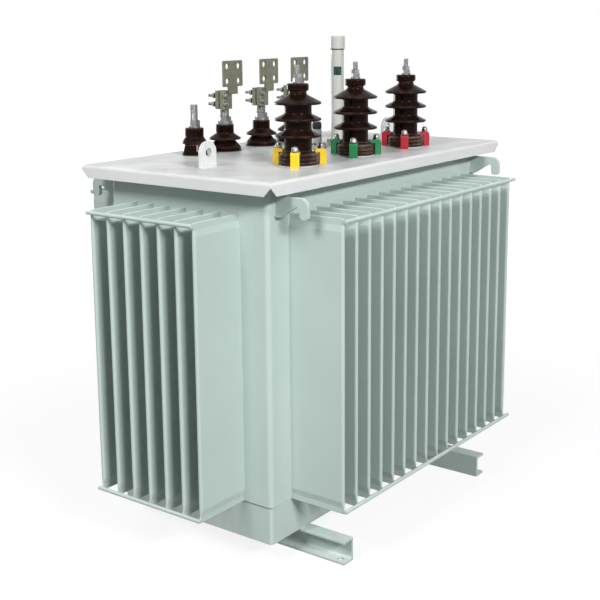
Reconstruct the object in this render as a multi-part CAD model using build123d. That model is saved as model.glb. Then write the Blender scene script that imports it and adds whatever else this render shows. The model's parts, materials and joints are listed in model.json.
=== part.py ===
# Oil-filled power transformer: tank with folded cooling fins, lid, bushings, gauge and base channels.
# Millimetres, +Z up, long side along X, high voltage bushings towards -Y, floor at zero height.
import os
from math import sqrt

from build123d import *

# Folded cooling fins
fin_pitch = 45.0
long_fin_count = 16
short_fin_count = 7
fin_depth = 128.5
fin_thickness = 9.0
fin_seam = 3.0
fin_pinch_height = 24.0
fin_seam_height = 11.0
fin_height = 586.0

# Tank outline and sheets
long_end_margin = 68.0
short_end_margin = 74.0
wall_thickness = 3.0
tank_corner_radius = 10.0
corner_return = 32.0
plain_wall_height = 10.0
lap_height = 16.0
base_side_height = 80.0
base_thickness = 5.0
fit_gap = 0.3

# Round bars that tie the fin tips together
bar_radius = 4.0
bar_near_overhang = 3.0
long_bar_far_overhang = 15.5
short_bar_far_overhang = 6.0

# Base channels
rail_gauge = 558.0
rail_shift = -12.0
rail_height = 50.0
rail_flange = 32.0
rail_web = 4.5
rail_flange_thickness = 5.0
rail_length = 630.0
rail_inner_radius = 4.0
foot_hole_radius = 7.0
foot_hole_inset = 18.0

# Rim flange and lid
rim_thickness = 5.0
rim_flange_thickness = 8.0
lid_overhang = 41.2
lid_thickness = 6.0
lid_lip = 27.0
lid_bend_radius = 7.0
lid_clearance = 2.0
notch_half_width = 12.0
notch_height = 17.0
notch_reach = 40.0
rim_leg_height = 50.0

# High voltage bushings
hv_row_inset = 76.5
hv_spacing = 207.0
hv_seat_radius = 39.5
hv_seat_height = 2.0
hv_flange_radius = 40.0
hv_flange_height = 23.0
hv_rib_count = 3
hv_rib_shares = (0.62, 0.81)
hv_groove_depth = 3.0
hv_shoulder_radius = 32.0
hv_body_radius = 28.0
hv_shed_radius = 47.5
hv_shed_spacing = 33.0
hv_first_shed = 55.5
hv_shed_rise = 14.0
hv_shed_edge = 5.0
hv_rim_share = 0.45
hv_root_radius = 5.0
hv_shed_count = 3
hv_neck_radius = 18.0
hv_neck_height = 6.5
hv_cap_radius = 22.5
hv_cap_height = 15.5
hv_cap_round = 4.0
hv_top = 164.0
hv_stud_radius = 5.0
hv_stud_height = 36.0
hv_washer_radius = 11.0
hv_washer_height = 3.0
hv_nut_radius = 9.4
hv_nut_height = 8.0
hv_nut_count = 2

# Clamps that hold the high voltage bushings down
clamp_width = 17.5
clamp_nose = 6.0
clamp_arm = 7.0
clamp_foot = 15.0
clamp_shoulder = 5.0
clamp_round = 6.0
clamps_each = 3
clamp_turn = 90.0

# Low voltage bushings and their terminals
lv_row_inset = 41.0
lv_place_a = -86.0
lv_place_b = 46.0
lv_place_c = 166.0
neutral_place = -189.0
lv_shed_radius = 36.0
neutral_shed_radius = 27.0
lv_barrel_radius = 20.5
lv_waist_radius = 23.0
lv_flange_height = 9.0
lv_shed_level = 28.0
lv_shed_edge = 4.0
lv_rim_share = 0.4
lv_barrel_low = 40.0
lv_barrel_top = 60.5
lv_barrel_round = 2.0
lv_stud_radius = 10.0
lv_stud_height = 70.0
lv_washer_radius = 18.0
lv_washer_height = 7.0
lv_nut_radius = 15.0
lv_nut_height = 10.0
neutral_stud_height = 50.0
neutral_stud_radius = 8.0
neutral_washer_radius = 13.5
neutral_washer_height = 4.0
neutral_nut_radius = 13.0
neutral_nut_height = 12.0
terminal_low = 34.5
terminal_height = 41.0
terminal_front = 14.0
terminal_back = 15.0
terminal_left = 18.0
terminal_right = 14.0
terminal_round = 5.0
terminal_bore_radius = 10.3
terminal_slit = 3.0
pad_width = 65.0
pad_height = 58.0
pad_thickness = 5.0
pad_shift = 11.0
pad_neck_width = 30.0
pad_neck_height = 9.0
pad_root_height = 8.0
pad_hole_spacing = 39.0
pad_hole_rise = 33.0
pad_hole_radius = 7.0
pad_corner_radius = 3.0

# Oil level gauge and tap changer on the lid
gauge_place_x = 150.0
gauge_place_y = 20.0
gauge_radius = 15.0
gauge_wall = 2.5
gauge_height = 225.0
gauge_foot_radius = 27.0
gauge_foot_height = 10.0
gauge_cap_radius = 17.5
gauge_cap_height = 29.0
gauge_cap_round = 3.0
window_height = 20.0
window_width = 18.5
window_level = 174.0
tap_place_x = 67.0
tap_place_y = 20.0
tap_foot_radius = 22.0
tap_foot_height = 8.0
tap_post_radius = 11.0
tap_post_height = 44.0
tap_knob_radius = 10.0
tap_knob_height = 17.0
tap_knob_round = 2.0

# Lifting lugs on the lid and lifting hooks under the rim
lug_end_inset = 69.5
lug_place_y = 0.0
lug_width = 46.0
lug_height = 53.0
lug_thickness = 8.0
lug_hole_radius = 9.0
hook_thickness = 8.0
hook_reach = 79.0
hook_height = 41.0
hook_arm = 18.0
hook_tip = 19.5
hook_root = 15.0
hook_throat = 8.0
hook_outer_radius = 18.0
hook_inner_radius = 3.5
hook_below_lid = 7.0
hook_end_inset = 24.5

# Plan sizes and heights that follow from the sizes above
tank_length = (long_fin_count - 1) * fin_pitch + 2 * long_end_margin
tank_width = (short_fin_count - 1) * fin_pitch + 2 * short_end_margin
lid_length = tank_length + 2 * lid_overhang
lid_width = tank_width + 2 * lid_overhang
hv_row = hv_row_inset - tank_width / 2
lv_row = tank_width / 2 - lv_row_inset
lug_place_x = tank_length / 2 - lug_end_inset
foot_hole_spacing = rail_length - 2 * foot_hole_inset
wall_bottom = rail_height + base_side_height
fin_bottom = wall_bottom
fin_top = fin_bottom + fin_height
wall_top = fin_top + plain_wall_height
flange_low = wall_top + rim_leg_height
flange_top = flange_low + rim_flange_thickness
lid_top = flange_top + lid_thickness
lid_bottom = lid_top - lid_lip
hv_base = lid_top + hv_seat_height
fin_reach = fin_depth + wall_thickness
fin_straight = fin_height - 2 * fin_pinch_height
long_standing = tank_width / 2 - wall_thickness
short_standing = tank_length / 2 - wall_thickness
side_sheet_width = tank_width - 2 * corner_return
flat_base = (Align.CENTER, Align.CENTER, Align.MIN)


def softened(outline, points, radius):
    """Flat outline with the corners nearest to the given points rounded."""
    corners = [outline.vertices().sort_by_distance(point)[0] for point in points]
    return fillet(corners, radius)


def turned(outline):
    """Solid of revolution about the upright axis from an outline of radius against height."""
    return revolve(Plane.XZ * outline, Axis.Z)


def round_rod(radius, height):
    return Cylinder(radius, height, align=flat_base)


def hexagon_nut(radius, height):
    return extrude(RegularPolygon(radius, 6), height)


def fin_section(thickness, level):
    """Plan of one fold at a given height, from the wall's inner face to its rounded tip."""
    half = thickness / 2
    neck = fin_reach - half
    near_side = Line((half, 0), (half, -neck))
    tip = ThreePointArc((half, -neck), (0, -fin_reach), (-half, -neck))
    far_side = Line((-half, -neck), (-half, 0))
    root = Line((-half, 0), (half, 0))
    return Pos(0, 0, level) * make_face([near_side, tip, far_side, root])


def fin_blade():
    """One fold, straight in the middle and pinched to a flat seam at its lower and upper end."""
    low_edge = fin_section(fin_seam, fin_bottom)
    low_seam = fin_section(fin_seam, fin_bottom + fin_seam_height)
    low_full = fin_section(fin_thickness, fin_bottom + fin_pinch_height)
    high_full = fin_section(fin_thickness, fin_top - fin_pinch_height)
    high_seam = fin_section(fin_seam, fin_top - fin_seam_height)
    straight = extrude(low_full, fin_straight, dir=(0, 0, 1))
    low_pinch = loft([low_seam, low_full], ruled=True)
    high_pinch = loft([high_full, high_seam], ruled=True)
    low_flat = extrude(low_edge, fin_seam_height, dir=(0, 0, 1))
    high_flat = extrude(high_seam, fin_seam_height, dir=(0, 0, 1))
    return straight + low_pinch + high_pinch + low_flat + high_flat


def fin_wall(sheet, count, standing):
    """Sheet with a row of folds pointing to -Y; standing is the distance of its inner face."""
    blade = fin_blade()
    places = [Pos((i - (count - 1) / 2) * fin_pitch, -standing, 0) for i in range(count)]
    return sheet + [place * blade for place in places]


def long_sheet():
    """Sheet of a long side, bent round the tank corners at both ends."""
    outer = RectangleRounded(tank_length, tank_width, tank_corner_radius)
    inner_length = tank_length - 2 * wall_thickness
    inner_width = tank_width - 2 * wall_thickness
    inner = RectangleRounded(inner_length, inner_width, tank_corner_radius - wall_thickness)
    band = extrude(outer - inner, wall_top - wall_bottom)
    region_align = (Align.CENTER, Align.MIN, Align.MIN)
    region = Box(tank_length, corner_return, wall_top - wall_bottom, align=region_align)
    return Pos(0, 0, wall_bottom) * (band & (Pos(0, -tank_width / 2, 0) * region))


def short_sheet():
    """Flat sheet of a short side, drawn facing -Y."""
    sheet_align = (Align.CENTER, Align.MIN, Align.MIN)
    sheet = Box(side_sheet_width, wall_thickness, wall_top - wall_bottom, align=sheet_align)
    return Pos(0, -tank_length / 2, wall_bottom) * sheet


def fin_bars(count, standing, start_overhang, end_overhang):
    """Upper and lower bar across the fin tips of one side, drawn facing -Y from -X to +X."""
    row_length = (count - 1) * fin_pitch
    bar = Rot(0, 90, 0) * round_rod(bar_radius, row_length + start_overhang + end_overhang)
    start = -(row_length / 2 + start_overhang)
    front = -(standing + fin_reach + fit_gap + bar_radius)
    lower = Pos(start, front, fin_bottom + bar_radius) * bar
    upper = Pos(start, front, fin_top - bar_radius) * bar
    return Compound([lower.solid(), upper.solid()])


def tank_base():
    """Open tray under the walls; its upper edge stands inside the wall sheets."""
    inset = wall_thickness + fit_gap
    outer = RectangleRounded(
        tank_length - 2 * inset, tank_width - 2 * inset, tank_corner_radius - inset
    )
    deep = inset + base_thickness
    inner = RectangleRounded(
        tank_length - 2 * deep, tank_width - 2 * deep, tank_corner_radius - deep
    )
    height = base_side_height + lap_height
    room = Pos(0, 0, base_thickness) * extrude(inner, height)
    return Pos(0, 0, rail_height) * (extrude(outer, height) - room)


def tank_rim():
    """Upright collar on the walls with the flange that carries the lid."""
    outer = RectangleRounded(tank_length, tank_width, tank_corner_radius)
    inner_length = tank_length - 2 * rim_thickness
    inner_width = tank_width - 2 * rim_thickness
    inner = RectangleRounded(inner_length, inner_width, tank_corner_radius - rim_thickness)
    margin = 2 * (lid_thickness + lid_clearance)
    flange = Rectangle(lid_length - margin, lid_width - margin) - inner
    leg = Pos(0, 0, wall_top) * extrude(outer - inner, rim_leg_height)
    return leg + Pos(0, 0, flange_low) * extrude(flange, rim_flange_thickness)


def lid():
    """Plate with its edges folded down, open notches at the corners and raised bushing seats."""
    block = Pos(0, 0, lid_bottom) * Box(lid_length, lid_width, lid_lip, align=flat_base)
    block = fillet(block.edges().group_by(Axis.Z)[-1], lid_bend_radius)
    room_length = lid_length - 2 * lid_thickness
    room_width = lid_width - 2 * lid_thickness
    room = Box(room_length, room_width, lid_lip - lid_thickness, align=flat_base)
    pan = block - Pos(0, 0, lid_bottom) * room
    wedge = make_face(
        Polyline((-notch_half_width, 0), (0, notch_height), (notch_half_width, 0), close=True)
    )
    for side_x in (-1, 1):
        for side_y in (-1, 1):
            out = (side_x / sqrt(2), side_y / sqrt(2), 0)
            across = (-out[1], out[0], 0)
            corner = (side_x * lid_length / 2, side_y * lid_width / 2, lid_bottom)
            notch = extrude(Plane(corner, x_dir=across, z_dir=out) * wedge, notch_reach, both=True)
            pan = pan - notch
    seat = round_rod(hv_seat_radius, hv_seat_height)
    return pan + [Pos(x, hv_row, lid_top) * seat for x in hv_places()]


def hv_places():
    return [-hv_spacing, 0, hv_spacing]


def hv_porcelain():
    """Porcelain with a ribbed foot flange, a stack of rounded sheds and a round cap."""
    rib_pitch = hv_flange_height / hv_rib_count
    groove = hv_flange_radius - hv_groove_depth
    points = [(0, 0)]
    for number in range(hv_rib_count):
        rib_low = number * rib_pitch
        rib_high = rib_low + rib_pitch * hv_rib_shares[0]
        points += [(hv_flange_radius, rib_low), (hv_flange_radius, rib_high)]
        points += [(groove, rib_low + rib_pitch * hv_rib_shares[1])]
    points += [(groove, hv_flange_height), (hv_shoulder_radius, hv_flange_height)]
    points += [(hv_body_radius, hv_flange_height + hv_shed_edge)]
    rims = []
    roots = []
    for number in range(hv_shed_count):
        edge = hv_first_shed + number * hv_shed_spacing
        roots += [(hv_body_radius, edge + hv_shed_edge / 2)]
        rims += [(hv_shed_radius, edge), (hv_shed_radius, edge + hv_shed_edge)]
        points += [roots[-1], rims[-2], rims[-1]]
        if number < hv_shed_count - 1:
            roots += [(hv_body_radius, edge + hv_shed_rise)]
            points += [roots[-1]]
    cap_low = hv_top - hv_cap_height
    roots += [(hv_neck_radius, cap_low - hv_neck_height)]
    points += [roots[-1], (hv_neck_radius, cap_low)]
    ends = [(hv_cap_radius, cap_low), (hv_cap_radius, hv_top)]
    points += [ends[0], ends[1], (0, hv_top)]
    outline = make_face(Polyline(*points, close=True))
    outline = softened(outline, roots, hv_root_radius)
    outline = softened(outline, rims, hv_shed_edge * hv_rim_share)
    return turned(softened(outline, ends, hv_cap_round))


def hv_stud():
    """Threaded terminal with a washer and locked nuts on top of the porcelain."""
    stack = round_rod(hv_stud_radius, hv_stud_height) + round_rod(hv_washer_radius, hv_washer_height)
    for number in range(hv_nut_count):
        level = hv_washer_height + number * hv_nut_height
        turn = number * 360 / 6 / hv_nut_count
        stack = stack + Pos(0, 0, level) * Rot(0, 0, turn) * hexagon_nut(hv_nut_radius, hv_nut_height)
    return stack


def hv_clamps():
    """Claws round the bushing, each with its foot on the lid and its nose over the flange."""
    nose_low = hv_seat_height + hv_flange_height + fit_gap
    top = nose_low + clamp_arm
    nose_tip = hv_flange_radius - clamp_nose
    foot_in = hv_seat_radius + clamp_shoulder
    foot_out = foot_in + clamp_foot
    points = [(nose_tip, nose_low), (foot_in, nose_low), (foot_in, 0), (foot_out, 0)]
    points += [(foot_out, top), (nose_tip, top)]
    outline = make_face(Polyline(*points, close=True))
    outline = softened(outline, [(foot_out, top)], clamp_round)
    outline = softened(outline, [(nose_tip, top)], clamp_shoulder)
    claw = extrude(Plane.XZ * outline, clamp_width / 2, both=True)
    turns = [clamp_turn + number * 360 / clamps_each for number in range(clamps_each)]
    return [Rot(0, 0, turn) * claw for turn in turns]


def lv_porcelain(shed_radius):
    """Low porcelain with a flared foot, one shed and a plain barrel."""
    rims = [(shed_radius, 0), (shed_radius, lv_flange_height)]
    rims += [(shed_radius, lv_shed_level - lv_shed_edge / 2), (shed_radius, lv_shed_level + lv_shed_edge / 2)]
    waist = (lv_waist_radius, lv_shed_level - lv_shed_edge)
    spring = (lv_barrel_radius, lv_barrel_low)
    brow = (lv_barrel_radius, lv_barrel_top)
    points = [(0, 0), rims[0], rims[1], waist, rims[2], rims[3], spring, brow, (0, lv_barrel_top)]
    outline = make_face(Polyline(*points, close=True))
    outline = softened(outline, rims[1:], lv_shed_edge * lv_rim_share)
    outline = softened(outline, [spring], lv_shed_edge)
    return turned(softened(outline, [brow], lv_barrel_round))


def lv_stud(radius, height, washer_radius, washer_height, nut_radius, nut_height):
    """Threaded terminal with a washer and a nut on top of the porcelain."""
    nut = Pos(0, 0, washer_height) * hexagon_nut(nut_radius, nut_height)
    return round_rod(radius, height) + round_rod(washer_radius, washer_height) + nut


def lv_terminal():
    """Split clamp round the stud with a flat four-hole pad standing up from its front face."""
    breadth = terminal_left + terminal_right
    depth = terminal_front + terminal_back
    block = Box(breadth, depth, terminal_height, align=flat_base)
    block = fillet(block.edges().filter_by(Axis.Z), terminal_round)
    block = Pos(terminal_right - breadth / 2, terminal_back - depth / 2, 0) * block
    slit_align = (Align.MAX, Align.CENTER, Align.MIN)
    slit = Box(terminal_left, terminal_slit, terminal_height, align=slit_align)
    bore = round_rod(terminal_bore_radius, terminal_height)
    plate_align = (Align.CENTER, Align.MAX, Align.MIN)
    pad_low = terminal_height + pad_neck_height
    root_low = terminal_height - pad_root_height
    neck = Box(pad_neck_width, pad_thickness, pad_low - root_low, align=plate_align)
    pad = Box(pad_width, pad_thickness, pad_height, align=plate_align)
    pad = fillet(pad.edges().filter_by(Axis.Y), pad_corner_radius)
    drill = Rot(90, 0, 0) * Cylinder(pad_hole_radius, pad_width)
    across = pad_hole_spacing / 2
    middle = pad_height / 2
    levels = (middle - pad_hole_rise / 2, middle + pad_hole_rise / 2)
    pad = pad - [Pos(x, 0, level) * drill for x in (-across, across) for level in levels]
    front = Pos(pad_shift, -terminal_front, 0)
    plate = front * Pos(0, 0, root_low) * neck + front * Pos(0, 0, pad_low) * pad
    return block - slit - bore + plate


def gauge_tube():
    """Hollow tube on a flanged foot, cut open for its level window."""
    outer = round_rod(gauge_radius, gauge_height)
    foot = round_rod(gauge_foot_radius, gauge_foot_height)
    inner = Pos(0, 0, gauge_foot_height) * round_rod(gauge_radius - gauge_wall, gauge_height)
    opening_align = (Align.MAX, Align.CENTER, Align.CENTER)
    opening = Box(gauge_radius, window_width, window_height, align=opening_align)
    facing = Rot(0, 0, window_turn) * (Pos(0, 0, window_level) * opening)
    return outer + foot - inner - facing


def gauge_window():
    """Curved pane set in the tube's opening."""
    middle = window_level - window_height / 2 + fit_gap
    height = window_height - 2 * fit_gap
    pane = round_rod(gauge_radius - fit_gap, height) - round_rod(gauge_radius - gauge_wall, height)
    cut_align = (Align.MAX, Align.CENTER, Align.MIN)
    cut = Box(gauge_radius, window_width - 2 * fit_gap, height, align=cut_align)
    return Pos(0, 0, middle) * (pane & (Rot(0, 0, window_turn) * cut))


def gauge_cap():
    cap = round_rod(gauge_cap_radius, gauge_cap_height)
    return fillet(cap.edges().group_by(Axis.Z)[-1], gauge_cap_round)


def tap_post():
    return round_rod(tap_foot_radius, tap_foot_height) + round_rod(tap_post_radius, tap_post_height)


def tap_knob():
    knob = round_rod(tap_knob_radius, tap_knob_height)
    return fillet(knob.edges().group_by(Axis.Z)[-1], tap_knob_round)


def lifting_lug():
    """Upright plate with a rounded head and an eye, drawn facing -Y."""
    half = lug_width / 2
    spring = lug_height - half
    left = Line((-half, 0), (-half, spring))
    head = ThreePointArc((-half, spring), (0, lug_height), (half, spring))
    right = Line((half, spring), (half, 0))
    foot = Line((half, 0), (-half, 0))
    plate = make_face([left, head, right, foot]) - Pos(0, spring) * Circle(lug_hole_radius)
    return extrude(Plane.XZ * plate, lug_thickness / 2, both=True)


def lifting_hook():
    """Plate with an arm reaching out from the wall and a tip turned down, drawn reaching to -Y."""
    under = hook_height - hook_arm
    inside = hook_reach - hook_tip
    tip_low = [(inside, 0), (hook_reach, 0)]
    crown = (hook_reach, hook_height)
    throat = [(inside - hook_throat, under), (inside, under)]
    points = [(0, 0), (hook_root, 0), *throat, *tip_low, crown, (0, hook_height)]
    plate = make_face(Polyline(*points, close=True))
    plate = softened(plate, [crown], hook_outer_radius)
    plate = softened(plate, throat, hook_inner_radius)
    plate = softened(plate, tip_low, hook_tip / 3)
    facing = Plane((0, 0, 0), x_dir=(0, -1, 0), z_dir=(-1, 0, 0))
    return extrude(facing * plate, hook_thickness / 2, both=True)


def base_channel():
    """Channel lying along Y with its flanges pointing to -X and a foot hole near each end."""
    half_gauge = rail_gauge / 2
    back = -(half_gauge - rail_flange / 2)
    inner_height = rail_height - 2 * rail_flange_thickness
    bar_align = (Align.MAX, Align.CENTER, Align.MIN)
    bar = Box(rail_flange, rail_length, rail_height, align=bar_align)
    hollow = Box(rail_flange, rail_length, inner_height, align=bar_align)
    hollow = fillet(hollow.edges().filter_by(Axis.Y).sort_by(Axis.X)[-2:], rail_inner_radius)
    channel = bar - Pos(-rail_web, 0, rail_flange_thickness) * hollow
    drill = round_rod(foot_hole_radius, rail_flange_thickness)
    for side in (-1, 1):
        place = Pos(-(rail_flange + rail_web) / 2, side * foot_hole_spacing / 2, 0)
        channel = channel - place * drill
    return Pos(back, 0, 0) * channel


def grouped(pieces):
    """Like pieces that don't touch, kept as separate solids of one node."""
    return Compound([solid for piece in pieces for solid in piece.solids()])


def lv_places():
    return [lv_place_a, lv_place_b, lv_place_c]


# The gauge window looks to the front left corner
window_turn = 36.0

front_fins = fin_wall(long_sheet(), long_fin_count, long_standing)
left_fins = fin_wall(short_sheet(), short_fin_count, short_standing)
turn_round = Rot(0, 0, 180)
turn_left = Rot(0, 0, -90)
front_bars = fin_bars(long_fin_count, long_standing, bar_near_overhang, long_bar_far_overhang)
back_bars = fin_bars(long_fin_count, long_standing, long_bar_far_overhang, bar_near_overhang)
left_bars = fin_bars(short_fin_count, short_standing, short_bar_far_overhang, bar_near_overhang)
right_bars = fin_bars(short_fin_count, short_standing, bar_near_overhang, short_bar_far_overhang)
left_rail = base_channel()
hook_level = lid_bottom - hook_below_lid - hook_height
hook_side = tank_length / 2 - hook_end_inset

nodes = {
    "tank_base": tank_base(),
    "tank_rim": tank_rim(),
    "front_fin_wall": front_fins,
    "back_fin_wall": turn_round * front_fins,
    "left_fin_wall": turn_left * left_fins,
    "right_fin_wall": turn_round * turn_left * left_fins,
    "front_fin_bars": front_bars,
    "back_fin_bars": turn_round * back_bars,
    "left_fin_bars": turn_left * left_bars,
    "right_fin_bars": turn_round * turn_left * right_bars,
    "lid": lid(),
    "left_lid_lug": Pos(-lug_place_x, lug_place_y, lid_top) * lifting_lug(),
    "right_lid_lug": Pos(lug_place_x, lug_place_y, lid_top) * lifting_lug(),
    "left_base_channel": Pos(rail_shift, 0, 0) * left_rail,
    "right_base_channel": Pos(rail_shift, 0, 0) * (turn_round * left_rail),
}

hook = Pos(0, -tank_width / 2, hook_level) * lifting_hook()
nodes["front_left_hook"] = Pos(-hook_side, 0, 0) * hook
nodes["front_right_hook"] = Pos(hook_side, 0, 0) * hook
nodes["back_left_hook"] = Pos(-hook_side, 0, 0) * (turn_round * hook)
nodes["back_right_hook"] = Pos(hook_side, 0, 0) * (turn_round * hook)

for colour, place in zip(("yellow", "green", "red"), hv_places()):
    spot = Pos(place, hv_row, 0)
    nodes[colour + "_hv_porcelain"] = spot * Pos(0, 0, hv_base) * hv_porcelain()
    nodes[colour + "_hv_stud"] = spot * Pos(0, 0, hv_base + hv_top) * hv_stud()
    claws = [spot * Pos(0, 0, lid_top) * claw for claw in hv_clamps()]
    nodes[colour + "_hv_clamps"] = grouped(claws)

for letter, place in zip(("a", "b", "c"), lv_places()):
    spot = Pos(place, lv_row, lid_top)
    stud_spot = spot * Pos(0, 0, lv_barrel_top)
    nodes["lv_porcelain_" + letter] = spot * lv_porcelain(lv_shed_radius)
    nodes["lv_stud_" + letter] = stud_spot * lv_stud(
        lv_stud_radius, lv_stud_height, lv_washer_radius, lv_washer_height, lv_nut_radius, lv_nut_height
    )
    nodes["lv_terminal_" + letter] = stud_spot * Pos(0, 0, terminal_low) * lv_terminal()

neutral_spot = Pos(neutral_place, lv_row, lid_top)
nodes["neutral_porcelain"] = neutral_spot * lv_porcelain(neutral_shed_radius)
neutral_stud = lv_stud(
    neutral_stud_radius,
    neutral_stud_height,
    neutral_washer_radius,
    neutral_washer_height,
    neutral_nut_radius,
    neutral_nut_height,
)
nodes["neutral_stud"] = neutral_spot * Pos(0, 0, lv_barrel_top) * neutral_stud

gauge_spot = Pos(gauge_place_x, gauge_place_y, lid_top)
nodes["gauge_tube"] = gauge_spot * gauge_tube()
nodes["gauge_window"] = gauge_spot * gauge_window()
nodes["gauge_cap"] = gauge_spot * Pos(0, 0, gauge_height) * gauge_cap()
tap_spot = Pos(tap_place_x, tap_place_y, lid_top)
nodes["tap_changer_post"] = tap_spot * tap_post()
nodes["tap_changer_knob"] = tap_spot * Pos(0, 0, tap_post_height) * tap_knob()

os.makedirs("parts", exist_ok=True)
for name, shape in nodes.items():
    export_step(shape, "parts/" + name + ".step")
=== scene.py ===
import json
import math
from collections import namedtuple

import bmesh
import bpy
from mathutils import Euler, Matrix, Vector


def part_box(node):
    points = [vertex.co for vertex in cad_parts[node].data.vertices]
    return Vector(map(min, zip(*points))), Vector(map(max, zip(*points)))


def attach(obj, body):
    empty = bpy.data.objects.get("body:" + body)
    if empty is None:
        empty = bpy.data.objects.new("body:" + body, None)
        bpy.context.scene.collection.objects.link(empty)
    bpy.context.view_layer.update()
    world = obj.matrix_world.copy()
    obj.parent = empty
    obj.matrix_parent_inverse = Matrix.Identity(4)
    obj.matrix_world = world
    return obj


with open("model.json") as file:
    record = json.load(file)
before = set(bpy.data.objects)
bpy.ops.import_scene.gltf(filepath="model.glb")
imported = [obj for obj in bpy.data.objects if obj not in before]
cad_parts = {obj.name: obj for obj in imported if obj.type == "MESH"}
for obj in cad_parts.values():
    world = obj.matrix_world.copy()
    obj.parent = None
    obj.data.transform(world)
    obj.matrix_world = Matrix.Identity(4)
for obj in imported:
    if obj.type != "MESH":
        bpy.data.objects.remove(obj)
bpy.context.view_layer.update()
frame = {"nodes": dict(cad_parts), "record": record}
nodes = frame["nodes"]

# Metres in a millimetre: pieces are sized in millimetres and the frame is in metres
MM = 0.001


# Colours and shader wiring
bevel_samples = 6


def tone(red, green, blue):
    """Linear colour from screen values of 0 to 255."""
    linear = []
    for value in (red, green, blue):
        share = value / 255
        linear.append(share / 12.92 if share <= 0.04045 else ((share + 0.055) / 1.055) ** 2.4)
    return (*linear, 1.0)


def put(tree, kind, inputs=None, **settings):
    """New node with its settings, values and links."""
    node = tree.nodes.new(kind)
    for name, value in settings.items():
        setattr(node, name, value)
    for key, value in (inputs or {}).items():
        if isinstance(value, bpy.types.NodeSocket):
            tree.links.new(value, node.inputs[key])
        else:
            node.inputs[key].default_value = value
    return node


def mixed(tree, share, first, second):
    """Colour between first and second by a share."""
    return put(tree, "ShaderNodeMix", {0: share, 6: first, 7: second}, data_type="RGBA").outputs[2]


def ranged(tree, value, low, high, to_low=0.0, to_high=1.0):
    """Value carried from one range to another and held inside it."""
    inputs = {"Value": value, "From Min": low, "From Max": high, "To Min": to_low, "To Max": to_high}
    return put(tree, "ShaderNodeMapRange", inputs).outputs["Result"]


def between(tree, share, first, second):
    """Number between first and second by a share."""
    return ranged(tree, share, low=0.0, high=1.0, to_low=first, to_high=second)


def times(tree, first, second):
    """Product of two values."""
    return put(tree, "ShaderNodeMath", {0: first, 1: second}, operation="MULTIPLY").outputs[0]


def noise(tree, place, scale, detail, roughness=0.5):
    """Cloudy values of about 0 to 1."""
    inputs = {"Vector": place, "Scale": scale, "Detail": detail, "Roughness": roughness}
    return put(tree, "ShaderNodeTexNoise", inputs).outputs["Fac"]


def rounded_normal(tree, radius):
    """Normal as if edges were rounded to a radius."""
    return put(tree, "ShaderNodeBevel", {"Radius": radius}, samples=bevel_samples).outputs["Normal"]


def object_place(tree):
    return put(tree, "ShaderNodeTexCoord").outputs["Object"]


def start_group(name, values, results):
    """Empty shader group with number inputs and number outputs."""
    tree = bpy.data.node_groups.new(name, "ShaderNodeTree")
    for label, value in values.items():
        socket = tree.interface.new_socket(label, in_out="INPUT", socket_type="NodeSocketFloat")
        socket.default_value = value
    for label in results:
        tree.interface.new_socket(label, in_out="OUTPUT", socket_type="NodeSocketFloat")
    return tree, tree.nodes.new("NodeGroupInput").outputs, tree.nodes.new("NodeGroupOutput").inputs


def sprayed_paint_group():
    """Orange peel of sprayed paint and the wide clouds in its colour."""
    values = {"Peel Scale": 500.0, "Cloud Scale": 5.0, "Cloud Amount": 1.0}
    tree, given, result = start_group("sprayed_paint", values, ["Peel", "Cloud"])
    place = object_place(tree)
    peel = noise(tree, place, given["Peel Scale"], detail=2.0)
    cloud = noise(tree, place, given["Cloud Scale"], detail=5.0)
    spread = ranged(tree, cloud, low=0.35, high=0.7)
    tree.links.new(peel, result["Peel"])
    tree.links.new(times(tree, spread, given["Cloud Amount"]), result["Cloud"])
    return tree


def edge_wear_and_highlight_group():
    """Mask along edges and creases, broken up in patches, for rubbed wear and painted highlights."""
    values = {"Width": 0.003, "Break Scale": 60.0, "Amount": 1.0}
    tree, given, result = start_group("edge_wear_and_highlight", values, ["Mask"])
    round_normal = rounded_normal(tree, given["Width"])
    true_normal = put(tree, "ShaderNodeNewGeometry").outputs["Normal"]
    dot = put(tree, "ShaderNodeVectorMath", {0: round_normal, 1: true_normal}, operation="DOT_PRODUCT")
    edge = ranged(tree, dot.outputs["Value"], low=0.995, high=0.86)
    breaks = noise(tree, object_place(tree), given["Break Scale"], detail=6.0)
    patchy = ranged(tree, breaks, low=0.38, high=0.62, to_low=0.25)
    tree.links.new(times(tree, times(tree, edge, patchy), given["Amount"]), result["Mask"])
    return tree


def upward_dust_and_light_group():
    """Mask of upward faces, broken up in patches, for thin dust mixed with painted top light and shade."""
    tree, given, result = start_group("upward_dust_and_light", {"Scale": 9.0, "Amount": 0.4}, ["Mask"])
    normal = put(tree, "ShaderNodeNewGeometry").outputs["Normal"]
    up = put(tree, "ShaderNodeSeparateXYZ", {"Vector": normal}).outputs["Z"]
    facing = ranged(tree, up, low=0.4, high=0.95)
    patch = noise(tree, object_place(tree), given["Scale"], detail=8.0, roughness=0.65)
    spread = ranged(tree, patch, low=0.38, high=0.68)
    tree.links.new(times(tree, times(tree, facing, spread), given["Amount"]), result["Mask"])
    return tree


def run_streaks_group():
    """Mask of faint upright streaks on standing faces."""
    tree, given, result = start_group("run_streaks", {"Scale": 34.0, "Amount": 0.3}, ["Mask"])
    stretch = put(tree, "ShaderNodeMapping", {"Vector": object_place(tree), "Scale": (1.0, 1.0, 0.045)})
    lines = noise(tree, stretch.outputs["Vector"], given["Scale"], detail=4.0)
    spread = ranged(tree, lines, low=0.5, high=0.74)
    tree.links.new(times(tree, spread, given["Amount"]), result["Mask"])
    return tree


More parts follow.
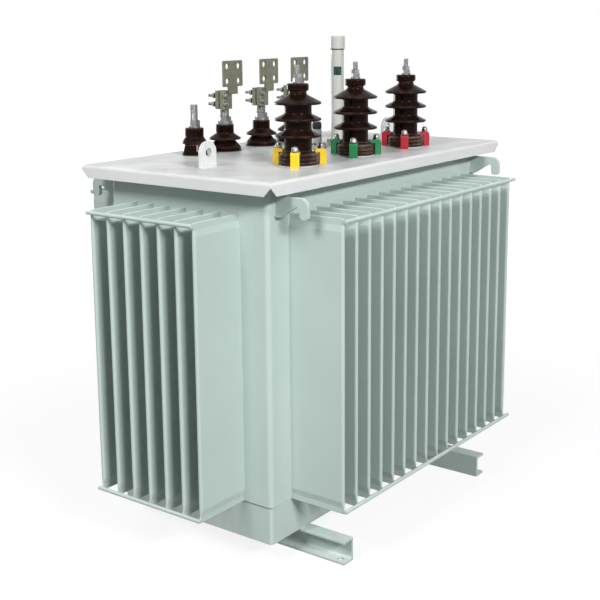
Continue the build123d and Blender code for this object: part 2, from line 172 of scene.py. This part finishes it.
def metal_grain_group():
    """Spangle of plating and the fine grain under it."""
    values = {"Spangle Scale": 300.0, "Grain Scale": 900.0}
    tree, given, result = start_group("metal_grain", values, ["Spangle", "Grain"])
    place = object_place(tree)
    inputs = {"Vector": place, "Scale": given["Spangle Scale"]}
    cells = put(tree, "ShaderNodeTexVoronoi", inputs).outputs["Color"]
    grey = put(tree, "ShaderNodeSeparateColor", {"Color": cells}).outputs["Red"]
    grain = noise(tree, place, given["Grain Scale"], detail=3.0)
    tree.links.new(grey, result["Spangle"])
    tree.links.new(grain, result["Grain"])
    return tree


groups = {
    "spray": sprayed_paint_group(),
    "edge": edge_wear_and_highlight_group(),
    "dust_and_top_light": upward_dust_and_light_group(),
    "streaks": run_streaks_group(),
    "metal": metal_grain_group(),
}


def grouped(tree, name, **values):
    """Outputs of a shader group placed with its own values."""
    node = tree.nodes.new("ShaderNodeGroup")
    node.node_tree = groups[name]
    for label, value in values.items():
        node.inputs[label.replace("_", " ").title()].default_value = value
    return node.outputs


def start_material(name):
    material = bpy.data.materials.new(name)
    material.use_nodes = True
    tree = material.node_tree
    return material, tree, tree.nodes["Principled BSDF"]


def give_colour(tree, shader, colouring, share, rough):
    """Colour, and roughness between two values by a share."""
    tree.links.new(colouring, shader.inputs["Base Color"])
    tree.links.new(between(tree, share, *rough), shader.inputs["Roughness"])


def give_relief(tree, shader, height, strength, depth, edge_radius):
    """Fine bump over softly rounded edges."""
    soft = rounded_normal(tree, edge_radius)
    inputs = {"Height": height, "Strength": strength, "Distance": depth, "Normal": soft}
    bump = put(tree, "ShaderNodeBump", inputs)
    tree.links.new(bump.outputs["Normal"], shader.inputs["Normal"])


# Finishes, with their small lengths in metres
def enamel(name, colour, cloud, edge, dust_and_top_light, dust_and_top_light_amount=0.3, coat=0.0):
    """Sprayed paint on steel with clouds, streaks, dust mixed with painted top light and shade, and edges
    lightened partly by wear and partly as painted highlights.
    """
    material, tree, shader = start_material(name)
    spray = grouped(tree, "spray", peel_scale=420.0, cloud_scale=4.0, cloud_amount=0.8)
    colouring = mixed(tree, spray["Cloud"], colour, cloud)
    streaks = grouped(tree, "streaks", amount=0.2)
    colouring = mixed(tree, streaks["Mask"], colouring, cloud)
    # Upward faces take the dust colour, partly dust and partly painted light: lighter on the tank's tops,
    # darker on the lid's top as painted shade.
    dust_and_top_light_mask = grouped(tree, "dust_and_top_light", amount=dust_and_top_light_amount)
    colouring = mixed(tree, dust_and_top_light_mask["Mask"], colouring, dust_and_top_light)
    # Edges and creases take the edge colour, partly rubbed wear and partly painted highlight.
    rubbed_and_highlit_edges = grouped(tree, "edge", width=0.00256, amount=0.5)
    colouring = mixed(tree, rubbed_and_highlit_edges["Mask"], colouring, edge)
    give_colour(tree, shader, colouring, spray["Cloud"], rough=(0.34, 0.46))
    shader.inputs["Coat Weight"].default_value = coat
    shader.inputs["Coat Roughness"].default_value = 0.12
    give_relief(tree, shader, spray["Peel"], strength=0.12, depth=0.0006, edge_radius=0.0016)
    return material


def glazed(name, colour, cloud, rim_highlight, dust_and_top_light):
    """Brown glaze with painted highlight lines along its rims and creases."""
    material, tree, shader = start_material(name)
    spray = grouped(tree, "spray", peel_scale=130.0, cloud_scale=18.0, cloud_amount=0.9)
    colouring = mixed(tree, spray["Cloud"], colour, cloud)
    # Painted highlight lines: the pale rim colour is laid along rims and creases.
    rim_highlights = grouped(tree, "edge", width=0.0045, break_scale=40.0, amount=0.6)
    colouring = mixed(tree, rim_highlights["Mask"], colouring, rim_highlight)
    dust_and_top_light_mask = grouped(tree, "dust_and_top_light", scale=30.0, amount=0.04)
    colouring = mixed(tree, dust_and_top_light_mask["Mask"], colouring, dust_and_top_light)
    give_colour(tree, shader, colouring, spray["Cloud"], rough=(0.1, 0.2))
    shader.inputs["Specular IOR Level"].default_value = 0.06
    give_relief(tree, shader, spray["Peel"], strength=0.05, depth=0.0008, edge_radius=0.0012)
    return material


def plated(name, colour, spangle, dull, metallic, rough):
    """Plated metal with spangle, fine grain and dull edges."""
    material, tree, shader = start_material(name)
    grain = grouped(tree, "metal", spangle_scale=260.0, grain_scale=900.0)
    colouring = mixed(tree, grain["Spangle"], colour, spangle)
    dulled = grouped(tree, "edge", width=0.0012, break_scale=140.0, amount=0.7)
    colouring = mixed(tree, dulled["Mask"], colouring, dull)
    give_colour(tree, shader, colouring, grain["Spangle"], rough)
    shader.inputs["Metallic"].default_value = metallic
    give_relief(tree, shader, grain["Grain"], strength=0.1, depth=0.0003, edge_radius=0.0006)
    return material


def moulded(name, colour, cloud, rough):
    """Moulded plastic or rubber with a fine grain and a little dust."""
    material, tree, shader = start_material(name)
    spray = grouped(tree, "spray", peel_scale=1400.0, cloud_scale=60.0, cloud_amount=0.7)
    colouring = mixed(tree, spray["Cloud"], colour, cloud)
    dust_and_top_light_mask = grouped(tree, "dust_and_top_light", scale=60.0, amount=0.15)
    colouring = mixed(tree, dust_and_top_light_mask["Mask"], colouring, tone(150, 150, 145))
    give_colour(tree, shader, colouring, spray["Cloud"], rough)
    give_relief(tree, shader, spray["Peel"], strength=0.25, depth=0.0003, edge_radius=0.0008)
    return material


def sight_glass(name, colour, cloud):
    """Green pane with the oil's darker tint behind it."""
    material, tree, shader = start_material(name)
    spray = grouped(tree, "spray", peel_scale=300.0, cloud_scale=70.0, cloud_amount=0.8)
    colouring = mixed(tree, spray["Cloud"], colour, cloud)
    give_colour(tree, shader, colouring, spray["Cloud"], rough=(0.05, 0.14))
    shader.inputs["Transmission Weight"].default_value = 0.25
    shader.inputs["IOR"].default_value = 1.5
    return material


finishes = {
    # tank_paint: the light dust colour, laid thickly on upward faces, is partly painted top light, and the
    # pale edge colour is partly painted highlight.
    "tank_paint": enamel(
        "tank_paint", colour=tone(190, 205, 200), cloud=tone(181, 197, 192),
        edge=tone(226, 234, 230), dust_and_top_light=tone(226, 231, 228), dust_and_top_light_amount=0.65,
    ),
    # lid_paint: the darker dust colour, laid thickly on the top, is partly painted shade, and the
    # near-white edge colour is partly painted highlight.
    "lid_paint": enamel(
        "lid_paint", colour=tone(224, 226, 225), cloud=tone(214, 217, 216),
        edge=tone(246, 247, 246), dust_and_top_light=tone(184, 185, 183), dust_and_top_light_amount=0.8,
    ),
    "white_paint": enamel(
        "white_paint", colour=tone(188, 190, 184), cloud=tone(178, 181, 176),
        edge=tone(220, 222, 218), dust_and_top_light=tone(196, 196, 190),
    ),
    # brown_porcelain: the pale rim colour gives painted highlight lines along rims and creases.
    "brown_porcelain": glazed(
        "brown_porcelain", colour=tone(28, 10, 5), cloud=tone(16, 6, 3),
        rim_highlight=tone(168, 138, 122), dust_and_top_light=tone(150, 140, 130),
    ),
    "plated_steel": plated(
        "plated_steel", colour=tone(152, 152, 150), spangle=tone(124, 125, 125),
        dull=tone(92, 92, 90), metallic=1.0, rough=(0.3, 0.48),
    ),
    "tinned_terminal": plated(
        "tinned_terminal", colour=tone(132, 132, 115), spangle=tone(116, 116, 100),
        dull=tone(86, 86, 82), metallic=0.6, rough=(0.36, 0.5),
    ),
    # The clamp paints' lighter edge colours are partly painted highlight.
    "yellow_clamp_paint": enamel(
        "yellow_clamp_paint", colour=tone(242, 204, 24), cloud=tone(232, 182, 10),
        edge=tone(250, 224, 90), dust_and_top_light=tone(236, 208, 80), coat=0.2,
    ),
    "green_clamp_paint": enamel(
        "green_clamp_paint", colour=tone(4, 124, 68), cloud=tone(2, 104, 56),
        edge=tone(46, 150, 98), dust_and_top_light=tone(30, 122, 78), coat=0.2,
    ),
    "red_clamp_paint": enamel(
        "red_clamp_paint", colour=tone(186, 20, 38), cloud=tone(164, 14, 32),
        edge=tone(214, 78, 86), dust_and_top_light=tone(176, 56, 62), coat=0.2,
    ),
    "black_plastic": moulded(
        "black_plastic", colour=tone(34, 34, 35), cloud=tone(46, 46, 46), rough=(0.38, 0.55)
    ),
    "green_glass": sight_glass("green_glass", colour=tone(22, 74, 62), cloud=tone(12, 52, 46)),
}
gasket_rubber = moulded("gasket_rubber", colour=tone(26, 25, 24), cloud=tone(40, 38, 36), rough=(0.6, 0.75))

for entry in frame["record"]["subparts"]:
    mesh = nodes[entry["node"]].data
    mesh.materials.clear()
    mesh.materials.append(finishes[entry["material_slot"]])


# Ways of making small pieces
Span = namedtuple("Span", "low high middle")
Bead = namedtuple("Bead", "radius ripple")
merge_distance = 1e-6
metal_crease = 40.0
weld_crease = 60.0
ring_edge_share = 0.25
washer_steps = 24
gasket_steps = 48
gasket_show_share = 0.8
thread_run_out = 1.5
bead_sides = 8
fewest_ripples = 3
bead_end_share = 0.6
bead_dip_share = 0.84


def span(node):
    """Low corner, high corner and middle of a node in millimetres."""
    low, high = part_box(node)
    return Span(low / MM, high / MM, (low + high) / 2 / MM)


def at(x, y, z):
    """Shift given in millimetres."""
    return Matrix.Translation((x * MM, y * MM, z * MM))


def turn(angle, axis):
    """Turn given in degrees."""
    return Matrix.Rotation(math.radians(angle), 4, axis)


def on_ring(middle, level, angle, radius):
    """Place on a level ring about the upright axis through a middle."""
    return at(middle.x, middle.y, level) @ turn(angle, "Z") @ at(radius, 0, 0)


def as_template(bm):
    """Mesh to be stamped, from a finished bmesh."""
    mesh = bpy.data.meshes.new("template")
    bm.to_mesh(mesh)
    bm.free()
    return mesh


def stamp(bm, template, place):
    """Adds a copy of a template mesh at a place."""
    start = len(bm.verts)
    bm.from_mesh(template)
    bm.verts.ensure_lookup_table()
    bmesh.ops.transform(bm, matrix=place, verts=bm.verts[start:])


def turned(profile, steps):
    """Mesh turned about the upright axis from radius and height pairs in millimetres."""
    bm = bmesh.new()
    line = [bm.verts.new((radius * MM, 0, level * MM)) for radius, level in profile]
    edges = [bm.edges.new(pair) for pair in zip(line, line[1:])]
    bmesh.ops.spin(
        bm, geom=line + edges, cent=(0, 0, 0), axis=(0, 0, 1), dvec=(0, 0, 0),
        angle=math.tau, steps=steps, use_merge=True,
    )
    bmesh.ops.remove_doubles(bm, verts=bm.verts, dist=merge_distance)
    bmesh.ops.recalc_face_normals(bm, faces=bm.faces)
    return as_template(bm)


def hexagon(radius, height, chamfer):
    """Hexagon nut or head with its upper corners taken off, radius over the corners."""
    bm = bmesh.new()
    bmesh.ops.create_cone(
        bm, cap_ends=True, segments=6, radius1=radius * MM, radius2=radius * MM,
        depth=height * MM, matrix=at(0, 0, height / 2),
    )
    top = [edge for edge in bm.edges if min(vert.co.z for vert in edge.verts) > height / 2 * MM]
    bmesh.ops.bevel(
        bm, geom=top, offset=chamfer * MM, segments=2, profile=0.5,
        affect="EDGES", material=-1, clamp_overlap=True,
    )
    return as_template(bm)


def flat_ring(inner, outer, height, steps):
    """Flat ring with its outer edges softened."""
    soft = height * ring_edge_share
    profile = [
        (inner, 0), (outer - soft, 0), (outer, soft), (outer, height - soft),
        (outer - soft, height), (inner, height), (inner, 0),
    ]
    return turned(profile, steps)


def washer(radius, hole, height):
    return flat_ring(hole, radius, height, washer_steps)


def thread(radius, depth, pitch, length, steps):
    """Ridged sleeve of a screw thread, closed at its top with a chamfer."""
    profile = []
    level = 0.0
    last_ridge = length - pitch * thread_run_out
    while level < last_ridge:
        profile += [(radius, level), (radius + depth, level + pitch / 2)]
        level += pitch
    profile += [(radius, level), (radius - depth, length), (0, length)]
    return turned(profile, steps)


def weld_bead(bm, start, end, bead):
    """Rippled bead from start to end, all in millimetres."""
    start, end = Vector(start) * MM, Vector(end) * MM
    run = end - start
    count = max(fewest_ripples, round(run.length / (bead.ripple * MM)))
    aim = run.to_track_quat("Z", "Y").to_matrix().to_4x4()
    size = bead_end_share
    made = bmesh.ops.create_circle(
        bm, cap_ends=True, segments=bead_sides, radius=bead.radius * size * MM,
        matrix=Matrix.Translation(start) @ aim,
    )
    ring = list({edge for vert in made["verts"] for edge in vert.link_edges})
    for number in range(1, count + 1):
        out = bmesh.ops.extrude_edge_only(bm, edges=ring)["geom"]
        verts = [item for item in out if isinstance(item, bmesh.types.BMVert)]
        ring = [item for item in out if isinstance(item, bmesh.types.BMEdge)]
        middle = start + run * (number / count)
        bmesh.ops.translate(bm, vec=run / count, verts=verts)
        swell = 1.0 if number % 2 else bead_dip_share
        fresh = bead_end_share if number == count else swell
        bmesh.ops.scale(bm, vec=(fresh / size,) * 3, space=Matrix.Translation(-middle), verts=verts)
        size = fresh
    bmesh.ops.contextual_create(bm, geom=ring)


def add_piece(bm, name, material, crease=metal_crease):
    """Object from a finished bmesh, riding on the transformer."""
    bmesh.ops.recalc_face_normals(bm, faces=bm.faces)
    mesh = bpy.data.meshes.new(name)
    bm.to_mesh(mesh)
    bm.free()
    mesh.shade_smooth()
    mesh.set_sharp_from_angle(angle=math.radians(crease))
    mesh.materials.append(material)
    piece = bpy.data.objects.new(name, mesh)
    bpy.context.scene.collection.objects.link(piece)
    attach(piece, "root")


def add_stud_thread(name, template, stud, level):
    """Thread round a stud, from a level up."""
    threads = bmesh.new()
    stamp(threads, template, at(stud.middle.x, stud.middle.y, level))
    add_piece(threads, name, finishes["plated_steel"])


def add_foot_gasket(name, porcelain, foot_radius, height):
    """Flat rubber ring that shows round a porcelain's foot."""
    foot = span(porcelain)
    ring = flat_ring(foot_radius - height, foot_radius + height * gasket_show_share, height, gasket_steps)
    seal = bmesh.new()
    stamp(seal, ring, at(foot.middle.x, foot.middle.y, foot.low.z))
    add_piece(seal, name, gasket_rubber)


# High voltage bushings: clamp bolts, stud threads and foot gaskets
claws = 3
clamp_bolt_ring = 51.0
clamp_first_turn = 90.0
clamp_nut_turn = 17.0
clamp_washer_height = 1.6
clamp_nut_height = 4.5
dome_sink = 0.1
dome_outline = [(6.6, 0), (6.4, 1.6), (5.6, 3.4), (4.2, 5.0), (2.2, 6.0), (0, 6.3)]
clamp_washer = washer(radius=8.4, hole=3.5, height=clamp_washer_height)
clamp_nut = hexagon(radius=7.6, height=clamp_nut_height, chamfer=0.9)
clamp_dome = turned(dome_outline, steps=20)
dome_level = clamp_washer_height + clamp_nut_height - dome_sink
thread_lift = 0.1
hv_thread_length = 17.0
hv_thread = thread(radius=5.0, depth=0.45, pitch=1.5, length=hv_thread_length, steps=20)
for phase in ("yellow", "green", "red"):
    clamps = span(phase + "_hv_clamps")
    porcelain = span(phase + "_hv_porcelain")
    bolts = bmesh.new()
    for number in range(claws):
        angle = clamp_first_turn + number * 360 / claws
        spot = on_ring(porcelain.middle, clamps.high.z, angle, clamp_bolt_ring)
        stamp(bolts, clamp_washer, spot)
        stamp(bolts, clamp_nut, spot @ at(0, 0, clamp_washer_height) @ turn(number * clamp_nut_turn, "Z"))
        stamp(bolts, clamp_dome, spot @ at(0, 0, dome_level))
    add_piece(bolts, phase + "_clamp_bolts", finishes["plated_steel"])
    stud = span(phase + "_hv_stud")
    thread_level = stud.high.z - hv_thread_length + thread_lift
    add_stud_thread(phase + "_hv_stud_thread", hv_thread, stud, thread_level)
    add_foot_gasket(phase + "_hv_gasket", phase + "_hv_porcelain", foot_radius=40.0, height=1.8)

# Low voltage bushings: clamp bolts through the terminals, stud threads and foot gaskets
lv_bolt_levels = (11.0, 30.0)
lv_bolt_shift = 13.6
lv_bolt_front = 14.0
lv_bolt_back = 15.0
lv_nut_turn = 11.0
lv_washer_height = 1.6
lv_bolt_washer = washer(radius=6.4, hole=2.6, height=lv_washer_height)
lv_bolt_head = hexagon(radius=5.9, height=4.6, chamfer=0.8)
lv_bolt_nut = hexagon(radius=5.9, height=5.4, chamfer=0.8)
lv_bolt_thread = thread(radius=3.0, depth=0.35, pitch=1.25, length=20.0, steps=14)
lv_thread_drop = 17.5
lv_thread = thread(radius=10.0, depth=0.6, pitch=2.0, length=18.0, steps=28)
for letter in "abc":
    block = span("lv_terminal_" + letter)
    stud = span("lv_stud_" + letter)
    bolt_x = stud.middle.x - lv_bolt_shift
    bolts = bmesh.new()
    for level in lv_bolt_levels:
        front = at(bolt_x, stud.middle.y - lv_bolt_front, block.low.z + level) @ turn(90, "X")
        back = at(bolt_x, stud.middle.y + lv_bolt_back, block.low.z + level) @ turn(-90, "X")
        stamp(bolts, lv_bolt_washer, front)
        stamp(bolts, lv_bolt_head, front @ at(0, 0, lv_washer_height))
        stamp(bolts, lv_bolt_washer, back)
        stamp(bolts, lv_bolt_nut, back @ at(0, 0, lv_washer_height) @ turn(lv_nut_turn, "Z"))
        stamp(bolts, lv_bolt_thread, back)
    add_piece(bolts, "lv_clamp_bolts_" + letter, finishes["plated_steel"])
    add_stud_thread("lv_stud_thread_" + letter, lv_thread, stud, block.low.z - lv_thread_drop)
    add_foot_gasket("lv_gasket_" + letter, "lv_porcelain_" + letter, foot_radius=36.0, height=2.0)

# Neutral bushing: stud thread and foot gasket
neutral_thread_length = 34.0
neutral_thread = thread(radius=8.0, depth=0.5, pitch=2.0, length=neutral_thread_length, steps=24)
stud = span("neutral_stud")
thread_level = stud.high.z - neutral_thread_length + thread_lift
add_stud_thread("neutral_stud_thread", neutral_thread, stud, thread_level)
add_foot_gasket("neutral_gasket", "neutral_porcelain", foot_radius=27.0, height=2.0)

# Gauge and tap changer: joint ring, finger ribs and foot screws
joint_outline = [(14.0, 0), (15.6, 0), (16.0, 0.5), (16.0, 1.4), (15.6, 2.0), (14.0, 2.0), (14.0, 0)]
joint_drop = 2.2
foot_screw_count = 3
screw_washer_height = 1.0
screw_washer = washer(radius=5.4, hole=2.0, height=screw_washer_height)
screw_head = hexagon(radius=4.6, height=4.0, chamfer=0.6)
rib_count = 14
rib_size = (1.6, 1.8, 12.0)
rib_chamfer = 0.4
rib_ring = 10.0
rib_drop = 1.0


def add_foot_screws(name, node, foot_height, ring, first_turn, head_turn):
    """Hexagon screws with washers on a node's round foot."""
    foot = span(node)
    screws = bmesh.new()
    for number in range(foot_screw_count):
        angle = first_turn + number * 360 / foot_screw_count
        spot = on_ring(foot.middle, foot.low.z + foot_height, angle, ring)
        stamp(screws, screw_washer, spot)
        stamp(screws, screw_head, spot @ at(0, 0, screw_washer_height) @ turn(number * head_turn, "Z"))
    add_piece(screws, name, finishes["plated_steel"])


def finger_rib():
    """Upright rib with its edges taken off."""
    bm = bmesh.new()
    bmesh.ops.create_cube(bm, size=1.0)
    bmesh.ops.scale(bm, vec=[length * MM for length in rib_size], verts=bm.verts)
    bmesh.ops.bevel(
        bm, geom=list(bm.edges), offset=rib_chamfer * MM, segments=1, profile=0.5,
        affect="EDGES", material=-1,
    )
    return as_template(bm)


tube = span("gauge_tube")
joint = bmesh.new()
stamp(joint, turned(joint_outline, steps=40), at(tube.middle.x, tube.middle.y, tube.high.z - joint_drop))
add_piece(joint, "gauge_joint_ring", gasket_rubber)
add_foot_screws(
    "gauge_foot_screws", "gauge_tube", foot_height=10.0, ring=20.8, first_turn=20.0, head_turn=23.0
)

knob = span("tap_changer_knob")
rib = finger_rib()
ribs = bmesh.new()
for number in range(rib_count):
    stamp(ribs, rib, on_ring(knob.middle, knob.middle.z - rib_drop, number * 360 / rib_count, rib_ring))
add_piece(ribs, "tap_knob_ribs", finishes["black_plastic"])
add_foot_screws(
    "tap_foot_screws", "tap_changer_post", foot_height=8.0, ring=16.4, first_turn=70.0, head_turn=31.0
)

# Welds on hooks, lugs, base channels, tie bars and fin ends
lifting_bead = Bead(radius=2.4, ripple=3.2)
lifting_bead_inset = 1.0
channel_bead = Bead(radius=2.6, ripple=3.4)
channel_bead_inset = 2.0
tack_bead = Bead(radius=1.6, ripple=1.4)
tack_half_length = 2.0
tack_inset = 7.6
seam_bead = Bead(radius=1.9, ripple=4.5)
fin_pitch = 45.0
fin_counts = {"front": 16, "back": 16, "left": 7, "right": 7}
plain_wall_height = 10.0

welds = bmesh.new()
for side in ("front", "back"):
    for end in ("left", "right"):
        hook = span(f"{side}_{end}_hook")
        tank_face = hook.high.y if side == "front" else hook.low.y
        foot, top = hook.low.z + lifting_bead_inset, hook.high.z - lifting_bead_inset
        for edge in (hook.low.x, hook.high.x):
            weld_bead(welds, (edge, tank_face, foot), (edge, tank_face, top), lifting_bead)
add_piece(welds, "hook_welds", finishes["tank_paint"], weld_crease)

welds = bmesh.new()
for end in ("left", "right"):
    lug = span(end + "_lid_lug")
    start_x, end_x = lug.low.x + lifting_bead_inset, lug.high.x - lifting_bead_inset
    for edge in (lug.low.y, lug.high.y):
        weld_bead(welds, (start_x, edge, lug.low.z), (end_x, edge, lug.low.z), lifting_bead)
add_piece(welds, "lug_welds", finishes["lid_paint"], weld_crease)

base = span("tank_base")
welds = bmesh.new()
for end in ("left", "right"):
    channel = span(end + "_base_channel")
    start_x, end_x = channel.low.x + channel_bead_inset, channel.high.x - channel_bead_inset
    for edge in (base.low.y, base.high.y):
        weld_bead(welds, (start_x, edge, channel.high.z), (end_x, edge, channel.high.z), channel_bead)
add_piece(welds, "channel_welds", finishes["tank_paint"], weld_crease)


def on_wall(wall, along, out, level):
    """Point from its shift along a wall, its shift out from the middle and its level."""
    return (along, out, level) if wall in ("front", "back") else (out, along, level)


for wall, count in fin_counts.items():
    bars = span(wall + "_fin_bars")
    sheet = span(wall + "_fin_wall")
    bar_side = {"front": bars.high.y, "back": bars.low.y, "left": bars.high.x, "right": bars.low.x}[wall]
    tank_side = {"front": base.low.y, "back": base.high.y, "left": base.low.x, "right": base.high.x}[wall]
    tacks = bmesh.new()
    seams = bmesh.new()
    for number in range(count):
        along = (number - (count - 1) / 2) * fin_pitch
        for level in (bars.low.z + tack_inset, bars.high.z - tack_inset):
            start = on_wall(wall, along - tack_half_length, bar_side, level)
            end = on_wall(wall, along + tack_half_length, bar_side, level)
            weld_bead(tacks, start, end, tack_bead)
        for level in (sheet.low.z, sheet.high.z - plain_wall_height):
            start = on_wall(wall, along, tank_side, level)
            end = on_wall(wall, along, bar_side, level)
            weld_bead(seams, start, end, seam_bead)
    add_piece(tacks, wall + "_bar_welds", finishes["tank_paint"], weld_crease)
    add_piece(seams, wall + "_seam_welds", finishes["tank_paint"], weld_crease)


# Floor and surroundings, in metres
white = (1.0, 1.0, 1.0, 1.0)
floor_half = 9.0
floor_grey = (0.16, 0.16, 0.16, 1.0)
glow_start = 0.8
glow_end = 2.4
glow_near = 0.86
ambient = 0.225


def seen_directly(tree):
    """1 for rays from the camera, mirrors and glass, else 0."""
    path = put(tree, "ShaderNodeLightPath").outputs
    inputs = {0: path["Is Camera Ray"], 1: path["Is Glossy Ray"]}
    either = put(tree, "ShaderNodeMath", inputs, operation="MAXIMUM").outputs[0]
    inputs = {0: either, 1: path["Is Transmission Ray"]}
    return put(tree, "ShaderNodeMath", inputs, operation="MAXIMUM").outputs[0]


def studio_floor():
    """Pale floor that takes a soft shadow and fades to white away from the transformer."""
    material, tree, shader = start_material("studio_floor")
    shader.inputs["Base Color"].default_value = floor_grey
    shader.inputs["Roughness"].default_value = 0.9
    shader.inputs["Specular IOR Level"].default_value = 0.0
    shader.inputs["Emission Color"].default_value = white
    away = put(tree, "ShaderNodeVectorMath", {0: object_place(tree)}, operation="LENGTH").outputs["Value"]
    glow = ranged(tree, away, low=glow_start, high=glow_end, to_low=glow_near)
    tree.links.new(times(tree, seen_directly(tree), glow), shader.inputs["Emission Strength"])
    return material


floor_mesh = bpy.data.meshes.new("floor")
bm = bmesh.new()
bmesh.ops.create_grid(bm, x_segments=1, y_segments=1, size=floor_half)
bm.to_mesh(floor_mesh)
bm.free()
floor_mesh.materials.append(studio_floor())
floor = bpy.data.objects.new("floor", floor_mesh)
bpy.context.scene.collection.objects.link(floor)

world = bpy.data.worlds.new("studio")
bpy.context.scene.world = world
world.use_nodes = True
tree = world.node_tree
background = tree.nodes["Background"]
background.inputs["Color"].default_value = white
tree.links.new(between(tree, seen_directly(tree), ambient, 1.0), background.inputs["Strength"])


# Lights, in metres and watts
light_aim = (0.0, 0.0, 0.5)


def softbox(name, place, size, power):
    """Soft oblong light aimed at the middle of the tank."""
    lamp = bpy.data.lights.new(name, "AREA")
    lamp.shape = "RECTANGLE"
    lamp.size, lamp.size_y = size
    lamp.energy = power
    holder = bpy.data.objects.new(name, lamp)
    direction = Vector(light_aim) - Vector(place)
    aim = direction.to_track_quat("-Z", "Y").to_matrix().to_4x4()
    holder.matrix_world = Matrix.Translation(place) @ aim
    bpy.context.scene.collection.objects.link(holder)


softbox("front_light", place=(-1.99, -4.93, 3.27), size=(1.9, 0.5), power=279.0)
softbox("left_light", place=(-3.83, -0.13, 3.71), size=(1.3, 1.3), power=126.0)
softbox("back_light", place=(1.04, 4.87, 0.94), size=(2.4, 1.0), power=94.0)


# Camera: place in metres, angles in degrees, sensor in millimetres, the rest in pixels of the picture
picture_width = 600
picture_middle_row = 300
lens_row = 245
focal_pixels = 1125.584
sensor_width = 36.0
camera_place = (-2.0345, -1.51388, 1.0792)
camera_dip = 11.261
camera_heading = -52.966
camera_lean = -0.484

camera_data = bpy.data.cameras.new("camera")
camera_data.sensor_width = sensor_width
camera_data.lens = sensor_width * focal_pixels / picture_width
camera_data.shift_y = (lens_row - picture_middle_row) / picture_width
camera = bpy.data.objects.new("camera", camera_data)
bpy.context.scene.collection.objects.link(camera)
heading = Euler((math.radians(90 - camera_dip), 0, math.radians(camera_heading))).to_matrix()
lean = Matrix.Rotation(math.radians(camera_lean), 3, "Z")
camera.matrix_world = Matrix.Translation(camera_place) @ (heading @ lean).to_4x4()
bpy.context.scene.camera = camera
bpy.context.scene.view_settings.view_transform = "Standard"
